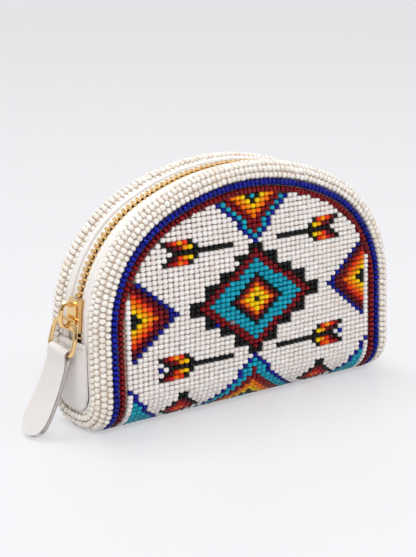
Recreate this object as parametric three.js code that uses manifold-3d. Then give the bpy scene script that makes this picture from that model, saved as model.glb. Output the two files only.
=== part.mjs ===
// Beaded coin purse standing on its rounded base, with the zip closed.
// Millimetres, +Z up. The origin lies on the base under the middle of the purse, and the front faces -Y.
// One beaded panel runs down the front, under the base and up the back.
// Three bead borders go round its whole rim, and a leather gusset with a metal zip closes the arch.
import * as THREE from 'three';
import Module from 'manifold-3d';
import { mergeVertices } from 'three/addons/utils/BufferGeometryUtils.js';

const wasm = await Module();
wasm.setup();

// Outline of the front, measured at the middle of the blue border row
const HALF_WIDTH = 58;
const SPRING_Z = 35.5;
const SHOULDER_R = 38.4;
const ARCH_TOP = 78.6;

// Side profile of the beaded panel, measured on the bead crests
const BASE_FLAT_HALF = 3.2;
const BASE_R = 13;
const PANEL_BULGE = 2;

// Bead strands and the leather that they are sewn to
const COLUMN_PITCH = 2.1;
const COLUMNS_EACH_SIDE = 25;
const RIDGE_DEPTH = 0.5;
const BEAD_LAYER = 1.9;
const SEAT_GAP = 0.3;
const BACKING_THICKNESS = 1.2;
const BACKING_EDGE = 1.4;

// Border rows and the rolled edging
const BORDER_ROW_R = 1.03;
const RED_OFFSET = 2.45;
const ROLL_R = 3.4;
const ROLL_BEAD_R = 1.05;
const ROLL_OUT = 2.3;
const ROLL_FIRST_DEG = -95;
const ROLL_STEP_DEG = 34.5;
const ROLL_ROWS = 5;

// Leather gusset, end patches and zip, as distances out from the blue row
const LEATHER = 1;
const GUSSET_OUT = 5.8;
const GUSSET_CROWN = 0.4;
const ROLL_SUNK = 1.1;
const LEATHER_EDGE_Y = 4.2;
const LEDGE_AT_TOP = 1.9;
const GUSSET_END_Z = 19;
const PATCH_TOP_Z = 31.2;
const PATCH_BULGE = 0.8;
const TAPE = 0.5;
const TAPE_MID_OUT = 4.4;
const TAPE_UNDER_LEATHER = 0.5;
const TAPE_END_Z = 23;

// Zip teeth
const TOOTH_PITCH = 2.15;
const TOOTH_THICKNESS = 2.8;
const TOOTH_HEAD_WIDTH = 0.68;
const TOOTH_NECK_Y = 0.95;
const TOOTH_TIP_PAST_MIDDLE = 0.4;
const CHAIN_HALF_WIDTH = 2.2;
const CORD_NOTCH = 0.5;
const CHAIN_START_Z = 29.5;
const ROWS_PARTED = 0.9;
const STOP_LENGTH = 2.4;

// Slider, bail, ring and pull tab
const SLIDER_DEG = 6;
const SLIDER_LENGTH = 10.4;
const SLIDER_HALF_WIDTH = 3.9;
const SLIDER_NOSE_HALF_WIDTH = 3.3;
const SLIDER_PLATE = 1;
const PLATE_CROWN = 0.25;
const SLIDER_FLANGE = 0.45;
const SLIDER_FLANGE_DROP = 1.2;
const SLIDER_CLEARANCE = 0.3;
const WEDGE_THICKNESS = 0.7;
const WEDGE_LENGTH = 2;
const BAIL_WIRE_R = 0.8;
const BAIL_LENGTH = 9;
const BAIL_HEIGHT = 4.9;
const RING_WIRE_R = 0.8;
const RING_WIDTH = 13.4;
const RING_HEIGHT = 10.6;
const RING_TOP_CORNER = 4.4;
const RING_LOW_CORNER = 1.4;
const RING_TILT_DEG = 5;
const RING_LEAN_DEG = 13;
const RING_OUT_OF_PLATE = 2.1;
const RING_SEAT_GAP = 0.3;
const TAB_TOP_WIDTH = 10.4;
const TAB_LOW_WIDTH = 13;
const TAB_LAYER = 1.2;
const TAB_FLOOR_GAP = 0.3;
const TAB_REACH = 11.5;
const TAB_CORNER = 5;

// Steps that the curved stretches are drawn with: the turn per step, and the most that a step may cut inside the arch
const STEP_TURN_DEG = 8;
const STEP_SAG = 0.19;
const CORNER_STEPS = 4;
const FACE_STEPS = 3;

const { degToRad } = THREE.MathUtils;

// The seam of the gusset lies behind the roll, and the faces lean so that the zip fits between the seams at the top
const GUSSET_SEAM_DEPTH = 2 * (ROLL_R + ROLL_BEAD_R) - ROLL_SUNK;
const TOP_HALF_DEPTH = LEATHER_EDGE_Y + LEDGE_AT_TOP + GUSSET_SEAM_DEPTH;
const TOP_FROM_BASE = new THREE.Vector2(TOP_HALF_DEPTH - BASE_FLAT_HALF, ARCH_TOP - BASE_R);
const LEAN = TOP_FROM_BASE.angle() - Math.acos(BASE_R / TOP_FROM_BASE.length());

// Colours of the materials
const finish = (color, roughness, metalness = 0) => new THREE.MeshStandardMaterial({ color, roughness, metalness });
const PEARL = 0xece6dc;
const LEATHER_WHITE = 0xe6e2dd;
const GOLD = 0xd9a860;

// Three-centred arch worked out from the width, the shoulder radius and the height
const SHOULDER_X = HALF_WIDTH - SHOULDER_R;
const ARCH_RISE = ARCH_TOP - SPRING_Z;
const CROWN_R = (SHOULDER_X ** 2 + ARCH_RISE ** 2 - SHOULDER_R ** 2) / (2 * (ARCH_RISE - SHOULDER_R));
const CROWN_Z = ARCH_TOP - CROWN_R;
const SHOULDER_ANGLE = Math.atan2(SPRING_Z - CROWN_Z, SHOULDER_X);
const CROWN_ANGLE = Math.PI - 2 * SHOULDER_ANGLE;
const stepsFor = (angle, radius) =>
  Math.ceil(angle / Math.min(degToRad(STEP_TURN_DEG), 2 * Math.acos(1 - STEP_SAG / radius)));
const SHOULDER_STEPS = stepsFor(SHOULDER_ANGLE, SHOULDER_R);
const CROWN_STEPS = stepsFor(CROWN_ANGLE, CROWN_R);

// Straight stretch of the side profile, from the base corner upwards
const FACE_FOOT_Z = BASE_R * (1 + Math.sin(LEAN));
const FACE_FOOT_Y = BASE_FLAT_HALF + BASE_R * Math.cos(LEAN);
const halfDepth = (z) => FACE_FOOT_Y - Math.tan(LEAN) * (z - FACE_FOOT_Z);

const ROW_DEPTH = BORDER_ROW_R;
const FIELD_OFFSET = RED_OFFSET + BORDER_ROW_R + SEAT_GAP;

// Rows of the arch, as points on the blue row with their outward direction in the front view
function archOutline() {
  const points = [];
  const add = (centreX, centreZ, radius, angle) => {
    const nx = Math.cos(angle);
    const nz = Math.sin(angle);
    points.push({ x: centreX + radius * nx, z: centreZ + radius * nz, nx, nz });
  };
  for (let i = 0; i <= SHOULDER_STEPS; i++) {
    add(-SHOULDER_X, SPRING_Z, SHOULDER_R, Math.PI - (SHOULDER_ANGLE * i) / SHOULDER_STEPS);
  }
  for (let i = 1; i <= CROWN_STEPS; i++) {
    add(0, CROWN_Z, CROWN_R, Math.PI - SHOULDER_ANGLE - (CROWN_ANGLE * i) / CROWN_STEPS);
  }
  for (let i = 1; i <= SHOULDER_STEPS; i++) {
    add(SHOULDER_X, SPRING_Z, SHOULDER_R, SHOULDER_ANGLE * (1 - i / SHOULDER_STEPS));
  }
  return points;
}

// Height of the arch above x, for an outline moved out by offset
function archHeight(x, offset) {
  const across = Math.abs(x);
  const crown = CROWN_R + offset;
  const shoulder = SHOULDER_R + offset;
  if (across <= crown * Math.cos(SHOULDER_ANGLE)) return CROWN_Z + Math.sqrt(crown ** 2 - across ** 2);
  const beyond = Math.max(0, across - SHOULDER_X);
  return SPRING_Z + Math.sqrt(Math.max(0, shoulder ** 2 - beyond ** 2));
}

// Frame on the rim: a point on the crest surface, out along the panel and in towards the purse
function faceFrame(side, { x, z, nx, nz }) {
  return {
    point: new THREE.Vector3(x, side * halfDepth(z), z),
    out: new THREE.Vector3(nx, -side * nz * Math.sin(LEAN), nz * Math.cos(LEAN)),
    inward: new THREE.Vector3(0, -side * Math.cos(LEAN), -Math.sin(LEAN)),
  };
}

const at = (frame, out, inward) =>
  frame.point.clone().addScaledVector(frame.out, out).addScaledVector(frame.inward, inward);

// Half of the base profile: points and outward directions from the foot of a face to the flat
function baseCorner(side) {
  const frames = [];
  for (let i = 0; i <= CORNER_STEPS; i++) {
    const angle = LEAN - ((Math.PI / 2 + LEAN) * i) / CORNER_STEPS;
    const normal = new THREE.Vector3(0, side * Math.cos(angle), Math.sin(angle));
    const centre = new THREE.Vector3(0, side * BASE_FLAT_HALF, BASE_R);
    frames.push({ point: centre.addScaledVector(normal, BASE_R), inward: normal.clone().negate() });
  }
  return frames;
}

// The whole rim as one closed loop: front arch, under the right side, back arch, under the left side
function rimLoop() {
  const arch = archOutline();
  const under = (sideX, fromFront) => {
    const frames = [...baseCorner(-1), ...baseCorner(1).reverse()].map(({ point, inward }) => ({
      point: point.clone().setX(sideX * HALF_WIDTH),
      out: new THREE.Vector3(sideX, 0, 0),
      inward,
    }));
    return fromFront ? frames : frames.reverse();
  };
  const front = arch.map((station) => faceFrame(-1, station));
  const back = arch.map((station) => faceFrame(1, station)).reverse();
  return [...front, ...under(1, true), ...back, ...under(-1, false)];
}

// Closed mesh through a list of sections that all have the same number of points
function loft(sections, { closed = false, cap = null } = {}) {
  const count = sections[0].length;
  const positions = sections.flat().flatMap((point) => [point.x, point.y, point.z]);
  const index = [];
  const spans = closed ? sections.length : sections.length - 1;
  for (let i = 0; i < spans; i++) {
    const here = i * count;
    const next = ((i + 1) % sections.length) * count;
    for (let j = 0; j < count; j++) {
      const k = (j + 1) % count;
      index.push(here + j, next + j, next + k, here + j, next + k, here + k);
    }
  }
  if (!closed) {
    const last = (sections.length - 1) * count;
    const turned = THREE.ShapeUtils.isClockWise(cap);
    for (const face of THREE.ShapeUtils.triangulateShape(cap, [])) {
      const [a, b, c] = turned ? [face[0], face[2], face[1]] : face;
      index.push(a, b, c, last + a, last + c, last + b);
    }
  }
  const geometry = new THREE.BufferGeometry();
  geometry.setAttribute('position', new THREE.Float32BufferAttribute(positions, 3));
  geometry.setIndex(facingOut(positions, index));
  return geometry;
}

// Turns every triangle over when the mesh encloses a negative volume
function facingOut(positions, index) {
  const corner = (i) => new THREE.Vector3().fromArray(positions, 3 * index[i]);
  let volume = 0;
  for (let i = 0; i < index.length; i += 3) volume += corner(i).dot(corner(i + 1).cross(corner(i + 2)));
  if (volume > 0) return index;
  const turned = [];
  for (let i = 0; i < index.length; i += 3) turned.push(index[i], index[i + 2], index[i + 1]);
  return turned;
}

// Solid for a boolean from a closed geometry, and a geometry from the result
function solid(geometry) {
  const bare = geometry.clone();
  bare.deleteAttribute('normal');
  bare.deleteAttribute('uv');
  const merged = mergeVertices(bare, 1e-4);
  return new wasm.Manifold(new wasm.Mesh({
    numProp: 3,
    vertProperties: Float32Array.from(merged.attributes.position.array),
    triVerts: Uint32Array.from(merged.index.array),
  }));
}

function geometryOf(result) {
  const mesh = result.getMesh();
  const geometry = new THREE.BufferGeometry();
  geometry.setAttribute('position', new THREE.BufferAttribute(mesh.vertProperties, 3));
  geometry.setIndex(new THREE.BufferAttribute(mesh.triVerts, 1));
  return geometry;
}

const purse = new THREE.Group();
function addPiece(name, geometry, material, parent = purse) {
  geometry.computeVertexNormals();
  const mesh = new THREE.Mesh(geometry, material);
  mesh.name = name;
  parent.add(mesh);
  return mesh;
}

// Slight fullness of the front and the back, greatest at the middle of the bead field
const FIELD_MID_Z = (FACE_FOOT_Z + ARCH_TOP - FIELD_OFFSET) / 2;
function bulge(x, z) {
  const across = x / (HALF_WIDTH - FIELD_OFFSET);
  const along = (z - FIELD_MID_Z) / (FIELD_MID_Z - FACE_FOOT_Z);
  return PANEL_BULGE * Math.max(0, 1 - across ** 2 - along ** 2);
}

// One section of the trough at a given depth; a lead point carries it above the bead field
function troughPath({ x, depth, lead = null }) {
  const fieldTop = archHeight(x, -FIELD_OFFSET);
  const top = lead === null ? fieldTop : Math.min(fieldTop, lead - 1);
  const half = (side) => {
    const points = [];
    const face = (z, fullness) => points.push(at(faceFrame(side, { x, z, nx: 0, nz: 1 }), 0, depth - fullness));
    if (lead !== null) face(lead, 0);
    for (let i = 0; i < FACE_STEPS; i++) {
      const z = top + ((FACE_FOOT_Z - top) * i) / FACE_STEPS;
      face(z, bulge(x, z));
    }
    for (const { point, inward } of baseCorner(side)) {
      points.push(point.clone().setX(x).addScaledVector(inward, depth));
    }
    return points;
  };
  return [...half(-1), ...half(1).reverse()];
}

function troughSolid(stations) {
  const sections = stations.map(troughPath);
  return solid(loft(sections, { cap: sections[0].map((point) => new THREE.Vector2(point.y, point.z)) }));
}

// Hollow that is cut out of a trough, with its lead well above the arch
function hollowStations(reach, depth) {
  const stations = [];
  const steps = 14;
  for (let i = 0; i <= steps; i++) {
    const x = -reach + (2 * reach * i) / steps;
    stations.push({ x, depth, lead: archHeight(x, -FIELD_OFFSET) + BASE_R });
  }
  return stations;
}

// Bead strands: a ridged block over the whole width, hollowed by the smooth face that the beads lie on
function beadedPanel() {
  const edge = HALF_WIDTH - FIELD_OFFSET;
  const outer = [{ x: -edge, depth: RIDGE_DEPTH }];
  for (let column = -COLUMNS_EACH_SIDE; column <= COLUMNS_EACH_SIDE; column++) {
    outer.push({ x: column * COLUMN_PITCH, depth: 0 });
    if (column < COLUMNS_EACH_SIDE) outer.push({ x: (column + 0.5) * COLUMN_PITCH, depth: RIDGE_DEPTH });
  }
  outer.push({ x: edge, depth: RIDGE_DEPTH });
  const hollow = hollowStations(edge + 2, BEAD_LAYER);
  return geometryOf(troughSolid(outer).subtract(troughSolid(hollow)));
}

// Leather backing that carries the beads and reaches out under the border rows
function panelBacking() {
  const depth = BEAD_LAYER + SEAT_GAP;
  const outer = archOutline().map(({ x, z, nx, nz }) => ({
    x: x + nx * BACKING_EDGE,
    lead: z + nz * BACKING_EDGE,
    depth,
  }));
  const hollow = hollowStations(HALF_WIDTH + BACKING_EDGE + 2, depth + BACKING_THICKNESS);
  return geometryOf(troughSolid(outer).subtract(troughSolid(hollow)));
}

// A profile in the rim's own directions, swept round the whole rim
const rim = rimLoop();
const sweepRim = (profile) => loft(rim.map((frame) => profile.map(([out, inward]) => at(frame, out, inward))), { closed: true });

function roundProfile(out, radius, sides) {
  const profile = [];
  for (let i = 0; i < sides; i++) {
    const angle = (2 * Math.PI * i) / sides;
    profile.push([out + radius * Math.cos(angle), ROW_DEPTH + radius * Math.sin(angle)]);
  }
  return profile;
}

// Edging: rows of beads side by side round a roll, with the hollow side lying on the panel's rim
function edgingProfile() {
  const profile = [];
  const rollDepth = ROLL_R + ROLL_BEAD_R;
  const backDepth = GUSSET_SEAM_DEPTH - SEAT_GAP;
  const onRoll = (deg, radius) => {
    const angle = degToRad(deg);
    const depth = rollDepth + radius * Math.sin(angle);
    profile.push([ROLL_OUT + radius * Math.cos(angle), Math.min(depth, backDepth)]);
  };
  for (let row = 0; row < ROLL_ROWS; row++) {
    const middle = ROLL_FIRST_DEG + row * ROLL_STEP_DEG;
    if (row > 0) onRoll(middle - ROLL_STEP_DEG / 2, ROLL_R + ROLL_BEAD_R * 0.45);
    onRoll(middle - ROLL_STEP_DEG / 4, ROLL_R + ROLL_BEAD_R * 0.96);
    onRoll(middle + ROLL_STEP_DEG / 4, ROLL_R + ROLL_BEAD_R * 0.96);
  }
  profile.push([ROLL_OUT + 0.4 * ROLL_R, backDepth]);
  profile.push([BACKING_EDGE + 2 * SEAT_GAP, 0.75 * backDepth]);
  profile.push([BACKING_EDGE + SEAT_GAP, 0.2 * backDepth]);
  return profile;
}

// Place on the zip's own arch: out from the blue row in the front view, at a distance y from the middle
function zipPoint(station, out, y) {
  return new THREE.Vector3(station.x + station.nx * out, y, station.z + station.nz * out);
}

// Stations of the gusset: down the left side, over the arch and down the right side
function gussetStations(endZ) {
  const straight = (sideX) => ({ x: sideX * HALF_WIDTH, z: endZ, nx: sideX, nz: 0 });
  return [straight(-1), ...archOutline(), straight(1)];
}

function gussetStrip(side) {
  const sections = gussetStations(GUSSET_END_Z).map((station) => {
    const seamY = at(faceFrame(side, station), GUSSET_OUT, GUSSET_SEAM_DEPTH).y;
    const seamTop = zipPoint(station, GUSSET_OUT, seamY);
    const seamLow = zipPoint(station, GUSSET_OUT - LEATHER, seamY);
    const edgeTop = zipPoint(station, GUSSET_OUT, side * LEATHER_EDGE_Y);
    const edgeLow = zipPoint(station, GUSSET_OUT - LEATHER, side * LEATHER_EDGE_Y);
    const middleTop = seamTop.clone().lerp(edgeTop, 0.5);
    middleTop.x += station.nx * GUSSET_CROWN;
    middleTop.z += station.nz * GUSSET_CROWN;
    return [seamLow, seamTop, middleTop, edgeTop, edgeLow];
  });
  const cap = [[0, 0], [0, LEATHER], [1, LEATHER + GUSSET_CROWN], [2, LEATHER], [2, 0]];
  return loft(sections, { cap: cap.map(([a, b]) => new THREE.Vector2(a, b)) });
}

// Half width of the end patch at height z, inside the curve of the edging
function patchHalfWidth(z) {
  const inset = GUSSET_SEAM_DEPTH + SEAT_GAP;
  if (z >= FACE_FOOT_Z) return halfDepth(z) - inset;
  const radius = BASE_R - inset;
  const below = Math.min(radius, BASE_R - z);
  return BASE_FLAT_HALF + Math.sqrt(Math.max(0, radius ** 2 - below ** 2));
}

// End patch: a leather tongue over the end of the zip, crowned across and rounded at its lower end
function endPatch(sideX) {
  const lowest = GUSSET_SEAM_DEPTH + SEAT_GAP;
  const under = HALF_WIDTH + GUSSET_OUT + GUSSET_CROWN + SEAT_GAP;
  const sections = [0, 0.02, 0.08, 0.22, 0.42, 0.62, 0.81, 1].map((rise) => {
    const z = lowest + rise * (PATCH_TOP_Z - lowest);
    const half = patchHalfWidth(z);
    const fullness = PATCH_BULGE * Math.sqrt(Math.min(1, 3 * rise));
    const point = (share, lift) => new THREE.Vector3(sideX * (under + lift), share * half, z);
    return [
      point(-1, 0), point(-1, LEATHER), point(-0.5, LEATHER + fullness * 0.75), point(0, LEATHER + fullness),
      point(0.5, LEATHER + fullness * 0.75), point(1, LEATHER), point(1, 0), point(0, 0),
    ];
  });
  const cap = [[-1, 0], [-1, 1], [-0.5, 1.5], [0, 2], [0.5, 1.5], [1, 1], [1, 0], [0, 0]];
  return loft(sections, { cap: cap.map(([a, b]) => new THREE.Vector2(a, b)) });
}

// How far each row of teeth has parted from the middle, below the wedge of the slider
const SLIDER_LOW_Z = SPRING_Z + (SHOULDER_R + TAPE_MID_OUT) * Math.sin(degToRad(SLIDER_DEG)) - SLIDER_LENGTH / 2;
function parted(z, onLeft) {
  if (!onLeft) return 0;
  const share = (SLIDER_LOW_Z + 5.5 - z) / 3.5;
  return ROWS_PARTED * Math.min(1, Math.max(0, share));
}

// Zip path along the middle of the tape, as stations spaced evenly by half a tooth pitch
function zipStations(endZ, spacing) {
  const straightLength = SPRING_Z - endZ;
  const shoulderLength = (SHOULDER_R + TAPE_MID_OUT) * SHOULDER_ANGLE;
  const crownLength = (CROWN_R + TAPE_MID_OUT) * CROWN_ANGLE;
  const total = 2 * (straightLength + shoulderLength) + crownLength;
  const place = (distance) => {
    const fromEnd = Math.min(distance, total - distance);
    const sideX = distance * 2 < total ? -1 : 1;
    if (fromEnd <= straightLength) return { x: sideX * HALF_WIDTH, z: endZ + fromEnd, nx: sideX, nz: 0 };
    const onShoulder = fromEnd - straightLength;
    if (onShoulder <= shoulderLength) {
      const angle = onShoulder / (SHOULDER_R + TAPE_MID_OUT);
      const nx = sideX * Math.cos(angle);
      const nz = Math.sin(angle);
      return { x: sideX * SHOULDER_X + SHOULDER_R * nx, z: SPRING_Z + SHOULDER_R * nz, nx, nz };
    }
    const angle = SHOULDER_ANGLE + (onShoulder - shoulderLength) / (CROWN_R + TAPE_MID_OUT);
    const nx = sideX * Math.cos(angle);
    const nz = Math.sin(angle);
    return { x: CROWN_R * nx, z: CROWN_Z + CROWN_R * nz, nx, nz };
  };
  const count = Math.floor(total / spacing);
  const stations = [];
  for (let i = 0; i <= count; i++) stations.push(place((total * i) / count));
  return stations;
}

// Tape of one side, running under the leather
function zipTape(side) {
  const sections = gussetStations(TAPE_END_Z).map((station) => {
    const near = CHAIN_HALF_WIDTH + SEAT_GAP + parted(station.z, station.nx < -0.9);
    const low = TAPE_MID_OUT - TAPE / 2;
    const high = TAPE_MID_OUT + TAPE / 2;
    return [
      zipPoint(station, low, side * near), zipPoint(station, high, side * near),
      zipPoint(station, high, side * (LEATHER_EDGE_Y + TAPE_UNDER_LEATHER)), zipPoint(station, low, side * (LEATHER_EDGE_Y + TAPE_UNDER_LEATHER)),
    ];
  });
  const cap = [[0, 0], [0, 1], [1, 1], [1, 0]];
  return loft(sections, { cap: cap.map(([a, b]) => new THREE.Vector2(a, b)) });
}

// One row of teeth on its edge cord: a comb whose heads reach past the middle of the zip
function zipTeeth(side) {
  const halfPitch = zipStations(CHAIN_START_Z, TOOTH_PITCH / 4);
  const quarter = halfPitch.length - 1;
  const phase = side < 0 ? 0 : 2;
  const sections = [];
  const station = (i) => halfPitch[Math.min(quarter, Math.max(0, i))];
  const slice = (i, along, inner, outer) => {
    const base = station(i);
    const shift = parted(base.z, base.nx < -0.9);
    const move = new THREE.Vector3(-base.nz, 0, base.nx).multiplyScalar(-along);
    const high = TAPE_MID_OUT + TOOTH_THICKNESS / 2;
    const low = TAPE_MID_OUT - TOOTH_THICKNESS / 2;
    const point = (out, y) => zipPoint(base, out, side * (y + shift)).add(move);
    sections.push([point(low, inner), point(high, inner), point(high, outer), point(low, outer)]);
  };
  const headHalf = TOOTH_HEAD_WIDTH / 2;
  for (let i = 2 + phase; i + 2 <= quarter; i += 4) {
    slice(i, -headHalf - 0.05, TOOTH_NECK_Y, CHAIN_HALF_WIDTH);
    slice(i, -headHalf, -TOOTH_TIP_PAST_MIDDLE, CHAIN_HALF_WIDTH);
    slice(i, headHalf, -TOOTH_TIP_PAST_MIDDLE, CHAIN_HALF_WIDTH);
    slice(i, headHalf + 0.05, TOOTH_NECK_Y, CHAIN_HALF_WIDTH);
    if (i + 6 <= quarter) slice(i + 2, 0, TOOTH_NECK_Y, CHAIN_HALF_WIDTH - CORD_NOTCH);
  }
  const cap = [[0, 0], [0, 1], [1, 1], [1, 0]];
  return loft(sections, { cap: cap.map(([a, b]) => new THREE.Vector2(a, b)) });
}

// Slider: two plates with turned-down flanges, joined by the wedge that parts the rows of teeth
const TOP_PLATE_IN = TAPE_MID_OUT + TOOTH_THICKNESS / 2 + SLIDER_CLEARANCE;
const LOW_PLATE_IN = TAPE_MID_OUT - TOOTH_THICKNESS / 2 - SLIDER_CLEARANCE;
const TOP_PLATE_OUT = TOP_PLATE_IN + SLIDER_PLATE;
const onShoulder = (deg, out, y) => {
  const angle = degToRad(deg);
  const radius = SHOULDER_R + out;
  return new THREE.Vector3(-SHOULDER_X - radius * Math.cos(angle), y, SPRING_Z + radius * Math.sin(angle));
};
const SLIDER_HALF_DEG = THREE.MathUtils.radToDeg(SLIDER_LENGTH / 2 / (SHOULDER_R + TAPE_MID_OUT));

function sliderPlate(inside, outside, flangeTip) {
  const steps = 6;
  const sections = [];
  for (let i = 0; i <= steps; i++) {
    const share = i / steps;
    const deg = SLIDER_DEG + SLIDER_HALF_DEG * (2 * share - 1);
    const roundEnd = 1 - 0.04 * (2 * share - 1) ** 8;
    const half = roundEnd * (SLIDER_HALF_WIDTH + (SLIDER_NOSE_HALF_WIDTH - SLIDER_HALF_WIDTH) * share ** 2);
    const channel = half - SLIDER_FLANGE;
    const crown = outside + Math.sign(outside - inside) * PLATE_CROWN;
    sections.push([
      onShoulder(deg, flangeTip, -half), onShoulder(deg, outside, -half * 0.96), onShoulder(deg, crown, -half * 0.6),
      onShoulder(deg, crown, half * 0.6), onShoulder(deg, outside, half * 0.96), onShoulder(deg, flangeTip, half),
      onShoulder(deg, flangeTip, channel), onShoulder(deg, inside, channel),
      onShoulder(deg, inside, -channel), onShoulder(deg, flangeTip, -channel),
    ]);
  }
  const fromShoulder = (point) => Math.hypot(point.x + SHOULDER_X, point.z - SPRING_Z);
  return loft(sections, { cap: sections[0].map((point) => new THREE.Vector2(point.y, fromShoulder(point))) });
}

function sliderBody() {
  const top = solid(sliderPlate(TOP_PLATE_IN, TOP_PLATE_OUT, TOP_PLATE_IN - SLIDER_FLANGE_DROP));
  const low = solid(sliderPlate(LOW_PLATE_IN, LOW_PLATE_IN - SLIDER_PLATE, LOW_PLATE_IN + SLIDER_FLANGE_DROP * 0.7));
  const wedgeDeg = THREE.MathUtils.radToDeg(WEDGE_LENGTH / (SHOULDER_R + TAPE_MID_OUT));
  const start = SLIDER_DEG - SLIDER_HALF_DEG + 0.3;
  const corner = (deg, y) => [
    onShoulder(deg, LOW_PLATE_IN - 0.4, y), onShoulder(deg, TOP_PLATE_IN + 0.4, y),
  ];
  const half = WEDGE_THICKNESS / 2;
  const sections = [start, start + wedgeDeg].map((deg) => {
    const [low0, high0] = corner(deg, -half);
    const [low1, high1] = corner(deg, half);
    return [low0, high0, high1, low1];
  });
  const square = [[0, 0], [0, 1], [1, 1], [1, 0]].map(([a, b]) => new THREE.Vector2(a, b));
  const wedge = solid(loft(sections, { cap: square }));
  return geometryOf(top.add(low).add(wedge));
}

// Round wire bent along a path in one plane, with a fixed sideways direction
function bentWire(points, sideways, radius, sides, closed) {
  const sections = points.map((point, i) => {
    const before = points[closed ? (i - 1 + points.length) % points.length : Math.max(0, i - 1)];
    const after = points[closed ? (i + 1) % points.length : Math.min(points.length - 1, i + 1)];
    const along = after.clone().sub(before).normalize();
    const across = new THREE.Vector3().crossVectors(along, sideways).normalize();
    const ring = [];
    for (let k = 0; k < sides; k++) {
      const angle = (2 * Math.PI * k) / sides;
      ring.push(point.clone().addScaledVector(across, radius * Math.cos(angle))
        .addScaledVector(sideways, radius * Math.sin(angle)));
    }
    return ring;
  });
  const circle = sections[0].map((_, k) => {
    const angle = (2 * Math.PI * k) / sides;
    return new THREE.Vector2(Math.cos(angle), Math.sin(angle));
  });
  return loft(sections, { closed, cap: circle });
}

// Bail: a wire loop standing on the slider's top plate
function sliderBail() {
  const foot = TOP_PLATE_OUT + PLATE_CROWN + SEAT_GAP;
  const halfDeg = THREE.MathUtils.radToDeg(BAIL_LENGTH / 2 / (SHOULDER_R + TOP_PLATE_OUT));
  const rise = BAIL_HEIGHT - BAIL_WIRE_R;
  const steps = 12;
  const points = [];
  for (let i = 0; i <= steps; i++) {
    const angle = Math.PI * (1 - i / steps);
    const along = Math.sign(Math.cos(angle)) * Math.abs(Math.cos(angle)) ** 0.8;
    const lift = Math.sin(angle) ** 0.7;
    points.push(onShoulder(SLIDER_DEG + halfDeg * along * (0.72 + 0.28 * lift), foot + rise * lift, 0));
  }
  return bentWire(points, new THREE.Vector3(0, 1, 0), BAIL_WIRE_R, 8, false);
}

// Ring: a closed wire loop with round shoulders and tighter low corners, drawn in its own plane
const bailLow = onShoulder(SLIDER_DEG, TOP_PLATE_OUT + RING_OUT_OF_PLATE, 0);
const ringPivot = new THREE.Vector3(
  bailLow.x, 0, bailLow.z - BAIL_LENGTH / 2 + 2 * BAIL_WIRE_R + RING_WIRE_R + RING_SEAT_GAP,
);

function ringPath() {
  const half = RING_WIDTH / 2;
  const path = [];
  const arc = (centreY, centreZ, radius, from, to, steps) => {
    for (let i = 0; i <= steps; i++) {
      const angle = degToRad(from + ((to - from) * i) / steps);
      path.push(new THREE.Vector3(0, centreY + radius * Math.cos(angle), centreZ + radius * Math.sin(angle)));
    }
  };
  arc(half - RING_TOP_CORNER, -RING_TOP_CORNER, RING_TOP_CORNER, 90, 0, 4);
  arc(half - RING_LOW_CORNER, -RING_HEIGHT + RING_LOW_CORNER, RING_LOW_CORNER, 0, -90, 3);
  arc(-half + RING_LOW_CORNER, -RING_HEIGHT + RING_LOW_CORNER, RING_LOW_CORNER, -90, -180, 3);
  arc(-half + RING_TOP_CORNER, -RING_TOP_CORNER, RING_TOP_CORNER, 180, 90, 4);
  return path;
}

// Pull tab: a strap folded round the ring's lower bar, both layers closed together below it
const TAB_THICKNESS = 2 * TAB_LAYER + 0.2;
function pullTab(drop) {
  const spine = new THREE.QuadraticBezierCurve(
    new THREE.Vector2(0, 0), new THREE.Vector2(-TAB_REACH * 0.22, -drop * 0.5), new THREE.Vector2(-TAB_REACH, -drop),
  );
  const half = TAB_THICKNESS / 2;
  const left = [];
  const right = [];
  const steps = 7;
  for (let i = 1; i <= steps; i++) {
    const share = i / steps;
    const point = spine.getPoint(share);
    const tangent = spine.getTangent(share);
    const swell = i === 1 ? 1.15 : 1;
    left.push(new THREE.Vector2(point.x + tangent.y * half * swell, point.y - tangent.x * half * swell));
    right.push(new THREE.Vector2(point.x - tangent.y * half * swell, point.y + tangent.x * half * swell));
  }
  const foldR = RING_WIRE_R + SEAT_GAP + TAB_LAYER;
  const fold = arcPoints(0, 0, foldR, 180, 0, 6);
  const side = new THREE.Shape([...left.reverse(), ...fold, ...right]);
  side.holes.push(new THREE.Path(arcPoints(0, 0, RING_WIRE_R + SEAT_GAP, 0, 330, 11)));
  const strap = new THREE.ExtrudeGeometry(side, { depth: TAB_LOW_WIDTH + 2, bevelEnabled: false });
  strap.translate(0, 0, -TAB_LOW_WIDTH / 2 - 1);
  strap.rotateX(Math.PI / 2);

  // Face outline of the strap, wider towards its rounded lower end
  const low = -drop - half;
  const centre = TAB_LOW_WIDTH / 2 - TAB_CORNER;
  const face = new THREE.Shape([
    new THREE.Vector2(-TAB_TOP_WIDTH / 2, foldR + 1),
    ...arcPoints(-centre, low + TAB_CORNER, TAB_CORNER, 180, 270, 5),
    ...arcPoints(centre, low + TAB_CORNER, TAB_CORNER, 270, 360, 5),
    new THREE.Vector2(TAB_TOP_WIDTH / 2, foldR + 1),
  ]);
  const reach = TAB_REACH + TAB_THICKNESS + foldR;
  const plate = new THREE.ExtrudeGeometry(face, { depth: 2 * reach, bevelEnabled: false });
  plate.translate(0, 0, -reach);
  plate.rotateX(Math.PI / 2);
  plate.rotateZ(Math.PI / 2);
  return geometryOf(solid(strap).intersect(solid(plate)));
}

// Points on an arc, both ends included
function arcPoints(centreX, centreY, radius, from, to, steps) {
  const points = [];
  for (let i = 0; i <= steps; i++) {
    const angle = degToRad(from + ((to - from) * i) / steps);
    points.push(new THREE.Vector2(centreX + radius * Math.cos(angle), centreY + radius * Math.sin(angle)));
  }
  return points;
}

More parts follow.
